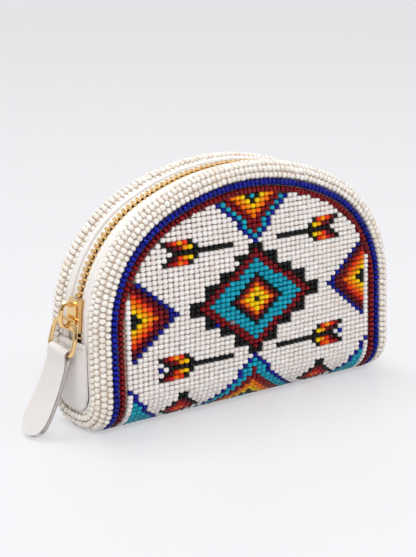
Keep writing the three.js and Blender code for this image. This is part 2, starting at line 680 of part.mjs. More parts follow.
// Bottom stop: the clamp that joins both rows at the far end of the zip
function bottomStop() {
  const stop = new THREE.BoxGeometry(TOOTH_THICKNESS, 2 * CHAIN_HALF_WIDTH, STOP_LENGTH);
  stop.translate(HALF_WIDTH + TAPE_MID_OUT, 0, CHAIN_START_Z - SEAT_GAP - STOP_LENGTH / 2);
  return stop;
}

addPiece('beaded_panel', beadedPanel(), finish(0xe8e2de, 0.45));
addPiece('panel_backing', panelBacking(), finish(LEATHER_WHITE, 0.8));
addPiece('red_bead_row', sweepRim(roundProfile(-RED_OFFSET, BORDER_ROW_R, 6)), finish(0x961923, 0.35));
addPiece('blue_bead_row', sweepRim(roundProfile(0, BORDER_ROW_R, 6)), finish(0x141ec8, 0.25));
addPiece('white_bead_edging', sweepRim(edgingProfile()), finish(PEARL, 0.35));
addPiece('gusset_front', gussetStrip(-1), finish(LEATHER_WHITE, 0.6));
addPiece('gusset_back', gussetStrip(1), finish(LEATHER_WHITE, 0.6));
addPiece('end_patch_left', endPatch(-1), finish(LEATHER_WHITE, 0.6));
addPiece('end_patch_right', endPatch(1), finish(LEATHER_WHITE, 0.6));
addPiece('zip_tape_front', zipTape(-1), finish(0xf0ede8, 0.9));
addPiece('zip_tape_back', zipTape(1), finish(0xf0ede8, 0.9));
addPiece('zip_teeth_front', zipTeeth(-1), finish(GOLD, 0.3, 1));
addPiece('zip_teeth_back', zipTeeth(1), finish(GOLD, 0.3, 1));
addPiece('zip_bottom_stop', bottomStop(), finish(GOLD, 0.3, 1));
addPiece('slider_body', sliderBody(), finish(GOLD, 0.25, 1));
addPiece('slider_bail', sliderBail(), finish(GOLD, 0.2, 1));

// The ring hangs in the bail, and the tab hangs on the ring's lower bar
const hanging = new THREE.Group();
hanging.position.copy(ringPivot);
hanging.rotation.set(degToRad(RING_TILT_DEG), degToRad(RING_LEAN_DEG), 0);
purse.add(hanging);
addPiece('pull_ring', bentWire(ringPath(), new THREE.Vector3(1, 0, 0), RING_WIRE_R, 8, true), finish(GOLD, 0.2, 1), hanging);

const tabGroup = new THREE.Group();
tabGroup.position.set(0, 0, -RING_HEIGHT);
tabGroup.rotation.set(0, -degToRad(RING_LEAN_DEG), 0);
hanging.add(tabGroup);
const barZ = ringPivot.z - RING_HEIGHT * Math.cos(degToRad(RING_TILT_DEG)) * Math.cos(degToRad(RING_LEAN_DEG));
const TAB_DROP = (barZ - TAB_FLOOR_GAP) / Math.cos(degToRad(RING_TILT_DEG)) - TAB_THICKNESS / 2 - 0.6;
addPiece('pull_tab', pullTab(TAB_DROP), finish(LEATHER_WHITE, 0.6), tabGroup);

export default purse;
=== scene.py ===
"""Beaded coin purse: single glass beads, leather, zip and pull, built over the plain solids.

Metres, +Z up, front to -Y, the same frame as the solids.
"""

import math

import bmesh
import bpy
import numpy as np
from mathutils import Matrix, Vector
from mathutils.bvhtree import BVHTree


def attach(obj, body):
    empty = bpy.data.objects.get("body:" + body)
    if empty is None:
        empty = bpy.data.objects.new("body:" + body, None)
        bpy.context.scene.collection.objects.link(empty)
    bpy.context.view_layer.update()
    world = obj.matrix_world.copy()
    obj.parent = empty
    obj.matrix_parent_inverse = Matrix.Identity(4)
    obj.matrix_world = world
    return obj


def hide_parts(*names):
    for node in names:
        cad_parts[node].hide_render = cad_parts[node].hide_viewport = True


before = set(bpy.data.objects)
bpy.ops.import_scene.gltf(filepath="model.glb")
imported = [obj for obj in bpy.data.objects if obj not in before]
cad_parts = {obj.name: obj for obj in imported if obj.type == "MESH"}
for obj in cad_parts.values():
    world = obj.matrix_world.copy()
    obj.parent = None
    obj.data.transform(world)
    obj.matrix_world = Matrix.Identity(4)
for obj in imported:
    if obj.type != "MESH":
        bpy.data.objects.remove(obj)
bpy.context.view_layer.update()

MM = 0.001
rng = np.random.default_rng(7)

# Outline of the front at the blue row, in millimetres
HALF_WIDTH = 58.0
SPRING_Z = 35.5
SHOULDER_R = 38.4
ARCH_TOP = 78.6
SHOULDER_X = HALF_WIDTH - SHOULDER_R
ARCH_RISE = ARCH_TOP - SPRING_Z
CROWN_R = (SHOULDER_X**2 + ARCH_RISE**2 - SHOULDER_R**2) / (2 * (ARCH_RISE - SHOULDER_R))
CROWN_Z = ARCH_TOP - CROWN_R
SHOULDER_ANGLE = math.atan2(SPRING_Z - CROWN_Z, SHOULDER_X)
CROWN_ANGLE = math.pi - 2 * SHOULDER_ANGLE

# Side profile on the bead crests
BASE_FLAT_HALF = 3.2
BASE_R = 13.0
TOP_HALF_DEPTH = 13.9
TOP_REACH = math.hypot(TOP_HALF_DEPTH - BASE_FLAT_HALF, ARCH_TOP - BASE_R)
LEAN = math.atan2(ARCH_TOP - BASE_R, TOP_HALF_DEPTH - BASE_FLAT_HALF) - math.acos(BASE_R / TOP_REACH)
FACE_FOOT_Z = BASE_R * (1 + math.sin(LEAN))
FACE_FOOT_Y = BASE_FLAT_HALF + BASE_R * math.cos(LEAN)
PANEL_BULGE = 2.0

# Bead strands
COLUMN_PITCH = 2.1
ROW_PITCH = 1.7
ROW_ZERO_Z = 38.5
COLUMNS_EACH_SIDE = 25
BEAD_R = 1.03
BEAD_LENGTH = 1.70
BEAD_WOBBLE = 0.035
FIELD_OFFSET = 3.78
BASE_MIDDLE_ROW = -29

# Border rows and edging roll, as distances out from the blue row and depths below the crests
RED_OFFSET = -2.57
RED_BEAD_R = 1.12
BLUE_OFFSET = -0.05
BLUE_BEAD_R = 1.14
BORDER_DEPTH = 1.03
BORDER_PITCH = 1.84
ROLL_OUT = 2.7
ROLL_R = 3.6
ROLL_DEPTH = 4.65
ROLL_FIRST_DEG = -95
ROLL_STEP_DEG = 34.5
ROLL_ROWS = 5
ROLL_CORE_R = 3.3
ROLL_CORE_DEPTH = 7.5
EDGING_PITCH = 2.02
EDGING_BEAD_R = 1.09

# Turned-in leather behind the edging
SEAM_OUT = 4.95
SEAM_OUT_BELOW = 0.55
SEAM_DEPTH = 7.95
SEAM_R = 0.7
SEAM_TOP_Z = 34.0

# Zip, as distances out from the blue row and lengths along the chain
TAPE_MID_OUT = 4.4
TAPE_HALF_WIDTH = 4.12
TAPE_START = -8.0
TAPE_STEP = 1.95
TAPE_STEPS = 96
TEETH_MID_OUT = 4.75
TEETH_HALF_HEIGHT = 0.95
TOOTH_PITCH = 2.15
CHAIN_START_Z = 29.5
ROWS_PARTED = 0.9
SLIDER_DEG = 6.0
SLIDER_LENGTH = 10.4

# End patch and pull strap
PATCH_TOP_Z = 31.2
STITCH_DROP = 1.5
STITCH_PITCH = 1.65
STITCHES = 9
BAR = (-69.324, 0.9, 28.387)
STRAP_DROP = 27.7
STRAP_REACH = 11.5
STRAP_HALF_LAYER = 0.42
STRAP_HALF_GAP = 0.52
STRAP_END_R = 6.3
STRAP_BOW_R = 1.38
STRAP_TILT_DEG = 5
STRAP_HALF_WIDTH_TOP = 5.2
STRAP_WIDENING = 1.3


def half_depth(z):
    """Distance of the crests of either face from the middle plane."""
    return FACE_FOOT_Y - math.tan(LEAN) * (z - FACE_FOOT_Z)


def arch_height(x, offset):
    """Height of the arch above x, for an outline moved out by offset."""
    across = abs(x)
    crown = CROWN_R + offset
    shoulder = SHOULDER_R + offset
    if across <= crown * math.cos(SHOULDER_ANGLE):
        return CROWN_Z + math.sqrt(crown**2 - across**2)
    beyond = max(0.0, across - SHOULDER_X)
    return SPRING_Z + math.sqrt(max(0.0, shoulder**2 - beyond**2))


FIELD_MID_Z = (FACE_FOOT_Z + ARCH_TOP - FIELD_OFFSET) / 2


def bulge(x, z):
    """Soft swelling of the beaded faces."""
    across = x / (HALF_WIDTH - FIELD_OFFSET)
    along = (z - FIELD_MID_Z) / (FIELD_MID_Z - FACE_FOOT_Z)
    return PANEL_BULGE * max(0.0, 1 - across**2 - along**2)


def strand_point(x, row, side):
    """Point on the crests, direction along the strand and outward normal, for a row of either face."""
    z = ROW_ZERO_Z + ROW_PITCH * row
    if z >= FACE_FOOT_Z:
        normal = np.array([0, side * math.cos(LEAN), math.sin(LEAN)])
        point = np.array([x, side * half_depth(z), z]) + normal * bulge(x, z)
        rise = bulge(x, z + 0.5) - bulge(x, z - 0.5)
        along = np.array([0, -side * math.sin(LEAN), math.cos(LEAN)]) + normal * rise
        return point, along / np.linalg.norm(along), normal
    corner = BASE_R * (math.pi / 2 + LEAN)
    whole = corner + BASE_FLAT_HALF
    rows_down = (ROW_ZERO_Z - FACE_FOOT_Z) / ROW_PITCH
    run = (-row - rows_down) * whole / (-BASE_MIDDLE_ROW - rows_down)
    if run > corner:
        point = np.array([x, side * (whole - run), 0.0])
        return point, np.array([0, side * 1.0, 0]), np.array([0, 0, -1.0])
    angle = LEAN - run / BASE_R
    normal = np.array([0, side * math.cos(angle), math.sin(angle)])
    centre = np.array([x, side * BASE_FLAT_HALF, BASE_R])
    along = np.array([0, -side * math.sin(angle), math.cos(angle)])
    return centre + normal * BASE_R, along, normal


def rim_frames():
    """Finely spaced frames round the whole rim: point on the crests, outward and inward directions."""

    def face(side, x, z, nx, nz):
        point = np.array([x, side * half_depth(z), z])
        out = np.array([nx, -side * nz * math.sin(LEAN), nz * math.cos(LEAN)])
        inward = np.array([0, -side * math.cos(LEAN), -math.sin(LEAN)])
        return point, out, inward

    def arch(side):
        path = []
        for i in range(61):
            angle = math.pi - SHOULDER_ANGLE * i / 60
            nx, nz = math.cos(angle), math.sin(angle)
            path.append(face(side, -SHOULDER_X + SHOULDER_R * nx, SPRING_Z + SHOULDER_R * nz, nx, nz))
        for i in range(1, 80):
            angle = math.pi - SHOULDER_ANGLE - CROWN_ANGLE * i / 80
            nx, nz = math.cos(angle), math.sin(angle)
            path.append(face(side, CROWN_R * nx, CROWN_Z + CROWN_R * nz, nx, nz))
        for i in range(61):
            angle = SHOULDER_ANGLE * (1 - i / 60)
            nx, nz = math.cos(angle), math.sin(angle)
            path.append(face(side, SHOULDER_X + SHOULDER_R * nx, SPRING_Z + SHOULDER_R * nz, nx, nz))
        return path

    def under(side_x):
        path = []
        for side in (-1, 1):
            half = []
            for i in range(16):
                z = SPRING_Z + (FACE_FOOT_Z - SPRING_Z) * i / 16
                half.append(face(side, side_x * HALF_WIDTH, z, side_x, 0))
            for i in range(25):
                angle = LEAN - (math.pi / 2 + LEAN) * i / 24
                normal = np.array([0, side * math.cos(angle), math.sin(angle)])
                centre = np.array([side_x * HALF_WIDTH, side * BASE_FLAT_HALF, BASE_R])
                half.append((centre + normal * BASE_R, np.array([side_x, 0, 0]), -normal))
            path += half if side < 0 else half[::-1]
        return path

    frames = arch(-1) + under(1)[1:] + arch(1)[::-1] + under(-1)[::-1][1:]
    points, outs, inwards = (np.array([f[i] for f in frames], float) for i in range(3))
    return points, outs, inwards


RIM_POINTS, RIM_OUT, RIM_IN = rim_frames()


def place_along_rim(out, depth, pitch, phase):
    """Bead centres spaced evenly along one row of the rim, with their axis and outward direction."""
    path = RIM_POINTS + RIM_OUT * out + RIM_IN * depth
    closed = np.vstack([path, path[:1]])
    steps = np.linalg.norm(np.diff(closed, axis=0), axis=1)
    run = np.concatenate([[0], np.cumsum(steps)])
    count = int(round(run[-1] / pitch))
    where = (np.arange(count) + phase) * run[-1] / count
    centres = np.stack([np.interp(where % run[-1], run, closed[:, k]) for k in range(3)], 1)
    ahead = np.stack([np.interp((where + 0.4) % run[-1], run, closed[:, k]) for k in range(3)], 1)
    axes = ahead - centres
    axes /= np.linalg.norm(axes, axis=1)[:, None]
    inward = np.stack(
        [np.interp(where % run[-1], run, np.vstack([RIM_IN, RIM_IN[:1]])[:, k]) for k in range(3)], 1
    )
    return centres, axes, -inward


# Bead shape: a short drum with rounded ends and a small hole, as (radius, length) shares

def mirrored(half):
    """Profile completed by its mirror image."""
    return half + [(radius, -length) for radius, length in reversed(half)]


# Segments round a bead, and its profile
FRONT_DETAIL = (10, mirrored([(0.26, 0.38), (0.46, 0.50), (0.78, 0.40), (1.0, 0.15)]))
ROUND_DETAIL = (10, mirrored([(0.22, 0.42), (0.44, 0.50), (0.78, 0.36), (1.0, 0.11)]))
BACK_DETAIL = (8, mirrored([(0.34, 0.44), (0.66, 0.48), (0.99, 0.18)]))


def bead_template(detail):
    """Points and faces of one bead of radius 1 and length 1."""
    segments, profile = detail
    verts, faces = [], []
    for s in range(segments):
        angle = 2 * math.pi * s / segments
        for radius, length in profile:
            verts.append((radius * math.cos(angle), radius * math.sin(angle), length))
    count = len(profile)
    for s in range(segments):
        here, there = s * count, ((s + 1) % segments) * count
        for k in range(count):
            nxt = (k + 1) % count
            faces.append((here + k, here + nxt, there + nxt, there + k))
    return np.array(verts), np.array(faces)


def beads_mesh(name, centres, axes, ups, radius, length, detail, material, body="purse"):
    """One mesh of many beads, each turned and sized a little differently."""
    count = len(centres)
    template, quads = bead_template(detail)
    axes = axes + rng.normal(0, 0.045, (count, 3))
    axes /= np.linalg.norm(axes, axis=1)[:, None]
    side = np.cross(ups, axes)
    side /= np.linalg.norm(side, axis=1)[:, None]
    up = np.cross(axes, side)
    spin = rng.uniform(0, 2 * math.pi, count)
    first = side * np.cos(spin)[:, None] + up * np.sin(spin)[:, None]
    second = np.cross(axes, first)
    radii = radius * (1 + rng.normal(0, 0.022, count))
    lengths = length * (1 + rng.normal(0, 0.05, count))
    verts = (
        centres[:, None, :]
        + first[:, None, :] * (template[None, :, 0:1] * radii[:, None, None])
        + second[:, None, :] * (template[None, :, 1:2] * radii[:, None, None])
        + axes[:, None, :] * (template[None, :, 2:3] * lengths[:, None, None])
    )
    faces = quads[None] + (np.arange(count) * len(template))[:, None, None]
    obj = quad_mesh(name, verts.reshape(-1, 3), faces.reshape(-1, 4), material, body)
    # Painted shade at each bead's ends and round its hole: 0 round the middle of the bead, up to 1 at its
    # ends.
    shade = np.clip(np.abs(template[:, 2]) * 2.6 - 0.3, 0, 1)
    attribute = obj.data.attributes.new("end_shade", "FLOAT", "POINT")
    attribute.data.foreach_set("value", np.tile(shade, count).astype(np.float32))
    return obj


def quad_mesh(name, verts, quads, material, body):
    """Smooth mesh from arrays of points, in millimetres, and of four-cornered faces."""
    mesh = bpy.data.meshes.new(name)
    mesh.vertices.add(len(verts))
    mesh.vertices.foreach_set("co", (np.asarray(verts, np.float32) * MM).ravel())
    mesh.loops.add(quads.size)
    mesh.loops.foreach_set("vertex_index", np.asarray(quads, np.int32).ravel())
    mesh.polygons.add(len(quads))
    mesh.polygons.foreach_set("loop_start", np.arange(len(quads), dtype=np.int32) * 4)
    mesh.polygons.foreach_set("use_smooth", np.full(len(quads), True))
    mesh.update(calc_edges=True)
    mesh.validate()
    obj = bpy.data.objects.new(name, mesh)
    bpy.context.scene.collection.objects.link(obj)
    mesh.materials.append(material)
    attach(obj, body)
    return obj


def loft_mesh(name, sections, material, body, closed=False):
    """Smooth mesh through closed sections of equal point counts, itself closed or capped at its ends."""
    verts = np.array([p for section in sections for p in section], float)
    count = len(sections[0])
    faces = []
    spans = len(sections) if closed else len(sections) - 1
    for i in range(spans):
        here, there = i * count, ((i + 1) % len(sections)) * count
        for j in range(count):
            k = (j + 1) % count
            faces.append([here + j, here + k, there + k, there + j])
    if not closed:
        faces.append(list(range(count))[::-1])
        faces.append([(len(sections) - 1) * count + j for j in range(count)])
    mesh = bpy.data.meshes.new(name)
    mesh.from_pydata([tuple(v * MM) for v in verts], [], faces)
    mesh.validate()
    for polygon in mesh.polygons:
        polygon.use_smooth = True
    obj = bpy.data.objects.new(name, mesh)
    bpy.context.scene.collection.objects.link(obj)
    mesh.materials.append(material)
    fix_normals(mesh)
    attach(obj, body)
    return obj


def fix_normals(mesh):
    bm = bmesh.new()
    bm.from_mesh(mesh)
    bmesh.ops.recalc_face_normals(bm, faces=bm.faces)
    bm.to_mesh(mesh)
    bm.free()


# Materials

def srgb(r, g, b):
    def linear(c):
        c = c / 255
        return c / 12.92 if c <= 0.04045 else ((c + 0.055) / 1.055) ** 2.4

    return (linear(r), linear(g), linear(b), 1.0)


def new_material(name, base, roughness, metallic=0.0, coat=0.0, sheen=0.0):
    material = bpy.data.materials.new(name)
    material.use_nodes = True
    nodes, links = material.node_tree.nodes, material.node_tree.links
    shader = nodes["Principled BSDF"]
    shader.inputs["Base Color"].default_value = base
    shader.inputs["Roughness"].default_value = roughness
    shader.inputs["Metallic"].default_value = metallic
    shader.inputs["Coat Weight"].default_value = coat
    shader.inputs["Coat Roughness"].default_value = 0.08
    shader.inputs["Sheen Weight"].default_value = sheen
    return material, nodes, links, shader


def mixed(nodes, links, factor, a, b):
    mix = nodes.new("ShaderNodeMix")
    mix.data_type = "RGBA"
    if hasattr(factor, "is_linked"):
        links.new(factor, mix.inputs["Factor"])
    else:
        mix.inputs["Factor"].default_value = factor
    for value, socket in ((a, mix.inputs[6]), (b, mix.inputs[7])):
        if hasattr(value, "is_linked"):
            links.new(value, socket)
        else:
            socket.default_value = value
    return mix.outputs[2]


def math_node(nodes, links, operation, a, b=0.0):
    node = nodes.new("ShaderNodeMath")
    node.operation = operation
    for value, socket in ((a, node.inputs[0]), (b, node.inputs[1])):
        if hasattr(value, "is_linked"):
            links.new(value, socket)
        else:
            socket.default_value = value
    return node.outputs[0]


def noise(nodes, links, scale, detail=2.0, roughness=0.5):
    coords = nodes.new("ShaderNodeTexCoord")
    texture = nodes.new("ShaderNodeTexNoise")
    texture.inputs["Scale"].default_value = scale
    texture.inputs["Detail"].default_value = detail
    texture.inputs["Roughness"].default_value = roughness
    links.new(coords.outputs["Object"], texture.inputs["Vector"])
    return texture.outputs["Fac"]


def bump(nodes, links, shader, height, strength, distance):
    node = nodes.new("ShaderNodeBump")
    node.inputs["Strength"].default_value = strength
    node.inputs["Distance"].default_value = distance
    links.new(height, node.inputs["Height"])
    links.new(node.outputs["Normal"], shader.inputs["Normal"])


def bead_material(name, light, dark, roughness, variation, ends, coat=0.0, subsurface=0.0):
    """Glass bead: colour differs a little from bead to bead, with faint streaks in each and painted shade
    at its ends and round its hole.
    """
    material, nodes, links, shader = new_material(name, light, roughness, coat=coat)
    shader.inputs["Specular IOR Level"].default_value = 0.5 if coat else 0.22
    geometry = nodes.new("ShaderNodeNewGeometry")
    share = math_node(nodes, links, "MULTIPLY", geometry.outputs["Random Per Island"], variation)
    colour = mixed(nodes, links, share, light, dark)
    streak = noise(nodes, links, 900.0, 3.0)
    streaked = math_node(nodes, links, "MULTIPLY", streak, 0.35)
    colour = mixed(nodes, links, streaked, colour, dark)
    # Painted shade: the ends and hole of each bead are darkened towards a deep tone of its own colour, as
    # if shaded where neighbouring beads meet.
    end_shade = nodes.new("ShaderNodeAttribute")
    end_shade.attribute_name = "end_shade"
    painted_end_shade = math_node(nodes, links, "MULTIPLY", end_shade.outputs["Fac"], ends)
    colour = mixed(nodes, links, painted_end_shade, colour, tuple(0.25 * c for c in dark[:3]) + (1.0,))
    links.new(colour, shader.inputs["Base Color"])
    rough = math_node(nodes, links, "MULTIPLY_ADD", streak, 0.2)
    rough.node.inputs[2].default_value = roughness - 0.08
    links.new(rough, shader.inputs["Roughness"])
    if subsurface:
        shader.inputs["Subsurface Weight"].default_value = subsurface
        shader.inputs["Subsurface Radius"].default_value = (0.0016, 0.0013, 0.0011)
        shader.inputs["Subsurface Scale"].default_value = 1.0
    bump(nodes, links, shader, streak, 0.12, 0.00005)
    return material


PEARL_BEAD = bead_material(
    "pearl_glass", srgb(252, 246, 239), srgb(230, 214, 199), 0.14, 0.8, 0.0, coat=0.5, subsurface=0.5
)
RED_ROW_BEAD = bead_material("garnet_glass", srgb(158, 4, 18), srgb(70, 0, 10), 0.14, 0.6, 0.8)
BLUE_ROW_BEAD = bead_material("cobalt_glass", srgb(2, 24, 184), srgb(0, 3, 54), 0.14, 0.5, 0.85)

# Colours of the field, by their letter in the chart: name, light and dark tone, roughness, variation
FIELD_GLASS = {
    "b": ("blue_glass", (2, 18, 165), (2, 4, 70), 0.16, 0.6),
    "m": ("maroon_glass", (94, 6, 30), (44, 2, 16), 0.16, 0.6),
    "d": ("dark_red_glass", (146, 6, 20), (84, 2, 10), 0.16, 0.6),
    "r": ("red_glass", (220, 12, 18), (158, 4, 12), 0.16, 0.5),
    "v": ("orange_red_glass", (248, 58, 10), (214, 34, 4), 0.16, 0.5),
    "o": ("orange_glass", (255, 122, 0), (236, 88, 0), 0.16, 0.5),
    "g": ("golden_glass", (255, 168, 0), (242, 132, 0), 0.16, 0.5),
    "y": ("yellow_glass", (255, 222, 0), (242, 192, 0), 0.16, 0.5),
    "k": ("black_glass", (8, 8, 10), (3, 3, 4), 0.12, 0.5),
    "t": ("turquoise_glass", (16, 182, 206), (8, 134, 164), 0.18, 0.6),
    "s": ("grey_glass", (150, 150, 158), (110, 110, 120), 0.2, 0.5),
}
FIELD_COLOURS = {
    letter: bead_material(name, srgb(*light), srgb(*dark), roughness, variation, 0.45)
    for letter, (name, light, dark, roughness, variation) in FIELD_GLASS.items()
}
FIELD_COLOURS["w"] = bead_material(
    "white_glass", srgb(252, 244, 239), srgb(236, 220, 212), 0.22, 0.7, 0.0, coat=0.22, subsurface=0.55
)


def leather_material(name, light, dark, creases=0.0):
    """Smooth leather with a fine grain, cloudy colour and, on the strap, faint creases across it."""
    material, nodes, links, shader = new_material(name, light, 0.42)
    blotch = noise(nodes, links, 55.0, 4.0)
    colour = mixed(nodes, links, math_node(nodes, links, "MULTIPLY", blotch, 0.5), light, dark)
    links.new(colour, shader.inputs["Base Color"])
    coords = nodes.new("ShaderNodeTexCoord")
    grain = nodes.new("ShaderNodeTexVoronoi")
    grain.inputs["Scale"].default_value = 2600.0
    links.new(coords.outputs["Object"], grain.inputs["Vector"])
    fine = noise(nodes, links, 700.0, 5.0)
    height = math_node(nodes, links, "ADD", grain.outputs["Distance"], fine)
    if creases:
        stretch = nodes.new("ShaderNodeMapping")
        stretch.inputs["Scale"].default_value = (700.0, 90.0, 1500.0)
        links.new(coords.outputs["Object"], stretch.inputs["Vector"])
        folds = nodes.new("ShaderNodeTexNoise")
        folds.inputs["Scale"].default_value = 1.0
        folds.inputs["Detail"].default_value = 3.0
        links.new(stretch.outputs["Vector"], folds.inputs["Vector"])
        deep = math_node(nodes, links, "MULTIPLY", folds.outputs["Fac"], creases)
        height = math_node(nodes, links, "ADD", height, deep)
    bump(nodes, links, shader, height, 0.3, 0.00012)
    rough = math_node(nodes, links, "MULTIPLY_ADD", blotch, 0.25)
    rough.node.inputs[2].default_value = 0.34
    links.new(rough, shader.inputs["Roughness"])
    shader.inputs["Subsurface Weight"].default_value = 0.12
    shader.inputs["Subsurface Radius"].default_value = (0.001, 0.0008, 0.0006)
    shader.inputs["Subsurface Scale"].default_value = 1.0
    return material


LEATHER = leather_material("white_leather", srgb(238, 234, 231), srgb(216, 209, 203))
STRAP_LEATHER = leather_material("strap_leather", srgb(230, 225, 222), srgb(206, 199, 194), creases=3.5)
LEATHER_EDGE = leather_material("leather_edge", srgb(176, 170, 168), srgb(140, 132, 128))
BACKING = leather_material("bead_ground", srgb(222, 200, 180), srgb(190, 164, 142))


def gold_material():
    """Pale polished brass: fine scratches and small cloudy patches that blur its reflections."""
    material, nodes, links, shader = new_material("gold_metal", srgb(236, 200, 134), 0.16, metallic=1.0)
    wear = noise(nodes, links, 420.0, 5.0, 0.6)
    worn = math_node(nodes, links, "MULTIPLY", wear, 0.4)
    colour = mixed(nodes, links, worn, srgb(250, 216, 158), srgb(212, 166, 102))
    links.new(colour, shader.inputs["Base Color"])
    rough = math_node(nodes, links, "MULTIPLY_ADD", wear, 0.16)
    rough.node.inputs[2].default_value = 0.05
    links.new(rough, shader.inputs["Roughness"])
    bump(nodes, links, shader, wear, 0.08, 0.00005)
    return material


GOLD = gold_material()


def cloth_material(name, light, dark, scale):
    """Plain weave: two crossing sets of fine threads."""
    material, nodes, links, shader = new_material(name, light, 0.85, sheen=0.3)
    coords = nodes.new("ShaderNodeTexCoord")
    waves = []
    for direction in ("X", "Z"):
        wave = nodes.new("ShaderNodeTexWave")
        wave.bands_direction = direction
        wave.inputs["Scale"].default_value = scale
        wave.inputs["Distortion"].default_value = 0.6
        links.new(coords.outputs["Object"], wave.inputs["Vector"])
        waves.append(wave.outputs["Fac"])
    weave = math_node(nodes, links, "MULTIPLY", waves[0], waves[1])
    links.new(mixed(nodes, links, weave, dark, light), shader.inputs["Base Color"])
    bump(nodes, links, shader, weave, 0.4, 0.0001)
    return material


TAPE = cloth_material("zip_tape_cloth", srgb(250, 248, 246), srgb(232, 228, 223), 420.0)
THREAD = cloth_material("sewing_thread", srgb(226, 220, 212), srgb(188, 180, 170), 900.0)


# Colour of every bead of the front, by column x and row y from the centre of the middle diamond

ARROW_POINT = 5


def middle_diamond(x, y):
    reach = abs(x) + abs(y)
    if reach <= 5:
        return "k" if reach in (0, 5) else "yyod"[reach - 1]
    slanted = abs(x) + 1.1 * abs(y)
    if slanted <= 9.45:
        return "t"
    if slanted <= 11.4:
        return "d"
    if abs(y) <= 11 and abs(x) <= 13 - 3 * math.floor((abs(y) + 0.9) / 2.6):
        return "k"
    return None


def side_triangle(x, y):
    along = abs(x) - 16
    inside = along - abs(y)
    if along < 0 or abs(x) > 24 or inside < 0:
        return None
    if inside == 1:
        return "b" if along == 1 else "m"
    if inside == 3:
        return "d" if along < 5 else "v"
    return {0: "b", 2: "d", 4: "o", 5: "g", 6: "y"}.get(inside, "k")


def top_triangle(x, y):
    rise = y - 12
    if rise < 0:
        return None
    inside = math.floor(0.92 * rise + 0.3) - abs(x)
    if inside < 0:
        return None
    return "btddogyk"[inside] if inside < 8 else "t"


def arrow(x, y, axis_row, tip, blue_tip):
    """Arrow that points to the middle, with its fletching at the outer end."""
    row = y - axis_row
    from_tip = tip - abs(x)
    if from_tip < 0 or abs(row) > 2:
        return None
    if row == 0:
        if from_tip == 0 and blue_tip:
            return "b"
        return "k" if from_tip >= 2 and abs(x) >= ARROW_POINT else None
    above = row > 0
    if abs(row) == 2:
        return dict(enumerate("kdvgvk" if above else "kdrovk")).get(from_tip)
    return dict(enumerate("kmdgyk" if above else "kmvgyk", 1)).get(from_tip)


def base_diamond(x, y):
    """Motif that starts under the middle and runs under the base, mirrored on the back."""
    down = -12 - y
    if down < 0:
        return None
    down = min(down, 2 * (-12 - BASE_MIDDLE_ROW) - down)
    inside = math.floor(0.92 * down + 0.3) - abs(x)
    if inside < 0:
        return None
    return "bttddogykk"[inside] if inside < 10 else "t"


def small_diamond(x, y):
    reach = 1.25 * abs(abs(x) - 14.5) + abs(y + 21)
    if reach > 4.65:
        return None
    return "k" if reach > 3.4 else ("d" if reach > 2.4 else ("r" if reach > 1.4 else "o"))


def corner_triangle(x, y):
    depth = abs(x) - 25 + 0.7 * (-13.3 - y)
    if abs(x) > 24 or depth < 0:
        return None
    return "b" if depth < 1 else "t"


# Single beads of another colour on the front
STRAY_BEADS = {(-5, -4): "s", (-8, -4): "b", (-4, 8): "w"}


def bead_colour(x, y, side):
    if side < 0 and (x, y) in STRAY_BEADS:
        return STRAY_BEADS[(x, y)]
    if abs(x) == COLUMNS_EACH_SIDE:
        return "b" if y == -14 else "w"
    return (
        middle_diamond(x, y)
        or side_triangle(x, y)
        or top_triangle(x, y)
        or arrow(x, y, 12, 18, False)
        or arrow(x, y, -11, 19, True)
        or base_diamond(x, y)
        or small_diamond(x, y)
        or corner_triangle(x, y)
        or "w"
    )


def field_beads():
    """Every strand of the field, front and back, gathered by colour and side."""
    groups = {}
    for column in range(-COLUMNS_EACH_SIDE, COLUMNS_EACH_SIDE + 1):
        x = column * COLUMN_PITCH
        top = arch_height(x, -FIELD_OFFSET) - 0.45 * BEAD_LENGTH
        for side in (-1, 1):
            row = math.floor((top - ROW_ZERO_Z) / ROW_PITCH + 0.6)
            last = BASE_MIDDLE_ROW if side < 0 else BASE_MIDDLE_ROW + 1
            while row >= last:
                point, along, normal = strand_point(x, row, side)
                key = (bead_colour(column, row, side), "front" if side < 0 else "back")
                groups.setdefault(key, []).append((point - normal * BEAD_R, along, normal))
                row -= 1
    for (colour, zone), rows in sorted(groups.items()):
        centres, axes, ups = (np.array([r[k] for r in rows]) for k in range(3))
        centres = centres + rng.normal(0, BEAD_WOBBLE, centres.shape)
        detail = FRONT_DETAIL if zone == "front" else BACK_DETAIL
        material = FIELD_COLOURS[colour]
        name = f"beads_{material.name}_{zone}"
        obj = beads_mesh(name, centres, axes, ups, BEAD_R, BEAD_LENGTH, detail, material)
        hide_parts("beaded_panel")


def border_row(
    name, out, depth, pitch, radius, material, node, phase=0.0, wobble=0.04, detail=FRONT_DETAIL
):
    """One row of beads round the whole rim, front, ends and back."""
    centres, axes, ups = place_along_rim(out, depth, pitch, phase)
    centres = centres + rng.normal(0, wobble, centres.shape)
    obj = beads_mesh(name, centres, axes, ups, radius, pitch * 0.96, detail, material)
    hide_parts(node)


def edging_beads():
    """Rows of pearly beads round the roll, each row half a bead on from the one before."""
    for row in range(ROLL_ROWS):
        angle = math.radians(ROLL_FIRST_DEG + row * ROLL_STEP_DEG)
        out = ROLL_OUT + ROLL_R * math.cos(angle)
        depth = ROLL_DEPTH + ROLL_R * math.sin(angle)
        border_row(
            f"edging_row_{row + 1}", out, depth, EDGING_PITCH, EDGING_BEAD_R, PEARL_BEAD,
            "white_bead_edging", phase=0.5 * (row % 2), wobble=0.07, detail=ROUND_DETAIL,
        )


